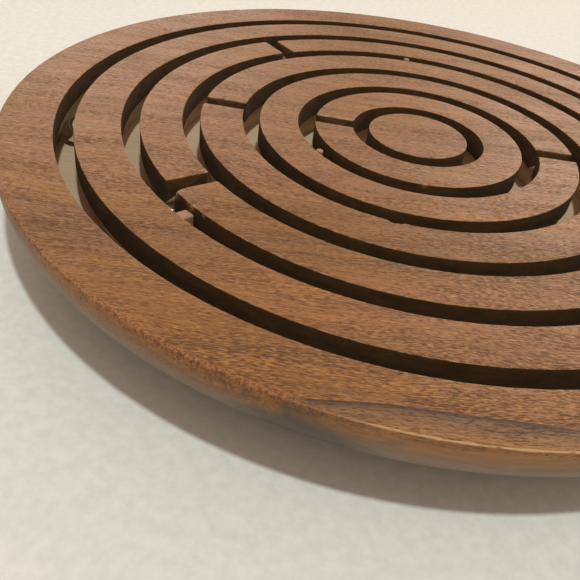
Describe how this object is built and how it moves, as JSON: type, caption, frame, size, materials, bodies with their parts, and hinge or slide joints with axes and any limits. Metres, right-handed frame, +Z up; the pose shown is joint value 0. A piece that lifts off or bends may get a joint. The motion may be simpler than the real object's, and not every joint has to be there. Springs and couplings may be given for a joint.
{
  "type": "tilt maze game",
  "caption": "Round wooden tilt maze with concentric undercut channels, gates between them, stops, and loose steel balls trapped under narrow slots.",
  "frame": {"origin": "centre of the flat foot that the disc stands on", "axes": "+Z up through the middle of the maze; +Y away from the side the maze is looked at from; +X to the right"},
  "size_m": [0.15, 0.15, 0.016],
  "materials": {
    "base_wood": "oiled, matt",
    "rim_wood": "oiled, satin",
    "ring_1_wood": "oiled, satin",
    "ring_2_wood": "oiled, satin",
    "ring_3_wood": "oiled, satin",
    "ring_4_wood": "oiled, satin",
    "ring_5_wood": "oiled, satin",
    "centre_wood": "oiled, satin",
    "stop_wood": "raw",
    "ball_steel": "polished"
  },
  "bodies": {
    "board": {"base_board": "base_wood", "rim": "rim_wood", "ring_1": "ring_1_wood", "ring_2_arc_1": "ring_2_wood", "ring_2_arc_2": "ring_2_wood", "ring_3": "ring_3_wood", "ring_4": "ring_4_wood", "ring_5": "ring_5_wood", "centre_disc": "centre_wood", "stop_block": "stop_wood", "stop_pin_1": "stop_wood", "stop_pin_2": "stop_wood"},
    "ball_1": {"ball_1": "ball_steel"},
    "ball_2": {"ball_2": "ball_steel"},
    "ball_3": {"ball_3": "ball_steel"}
  },
  "joints": [
    {"name": "ball_1_roll", "type": "hinge", "parent": "board", "child": "ball_1", "pos_m": [0, 0, 0.00928], "axis": [0, 0, 1], "continuous": true},
    {"name": "ball_2_roll", "type": "hinge", "parent": "board", "child": "ball_2", "pos_m": [0, 0, 0.00928], "axis": [0, 0, 1], "range_deg": [-338, 1.6]},
    {"name": "ball_3_roll", "type": "hinge", "parent": "board", "child": "ball_3", "pos_m": [0, 0, 0.00928], "axis": [0, 0, 1], "range_deg": [-0.5, 4]}
  ]
}
